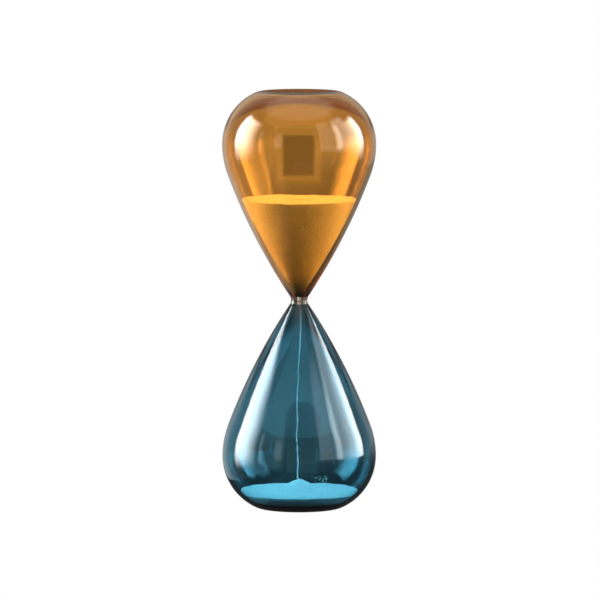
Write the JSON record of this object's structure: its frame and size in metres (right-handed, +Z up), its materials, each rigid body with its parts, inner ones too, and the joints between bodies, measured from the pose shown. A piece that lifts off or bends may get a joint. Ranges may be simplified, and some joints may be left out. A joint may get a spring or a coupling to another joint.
{
  "type": "hourglass",
  "caption": "Frameless two-tone glass sand timer: amber bulb over blue bulb, fused at a clear neck, with white sand falling through a metered throat.",
  "frame": {"origin": "centre of the lower flat end, on the surface that the timer stands on", "axes": "+Z up the axis of both bulbs, from the lower flat end to the upper one; +X and +Y are free, because every glass piece is turned about Z"},
  "size_m": [0.0734, 0.0734, 0.2],
  "materials": {
    "amber_glass": "blown borosilicate glass, fire-polished, with an amber stain fired on",
    "blue_glass": "blown borosilicate glass, fire-polished, with a teal blue stain fired on",
    "clear_glass": "fused glass bead, clear to faintly smoky, fire-polished",
    "stopper": "moulded silicone rubber, charcoal, matt",
    "clear_seal": "clear cured resin",
    "sand": "fine white dyed quartz sand, dry and free running"
  },
  "bodies": {
    "root": {"upper_bulb": "amber_glass", "lower_bulb": "blue_glass", "neck_collar": "clear_glass", "fill_plug": "stopper", "plug_seal": "clear_seal", "upper_sand": "sand", "sand_stream": "sand", "lower_sand": "sand", "stray_grains": "sand"}
  },
  "joints": []
}
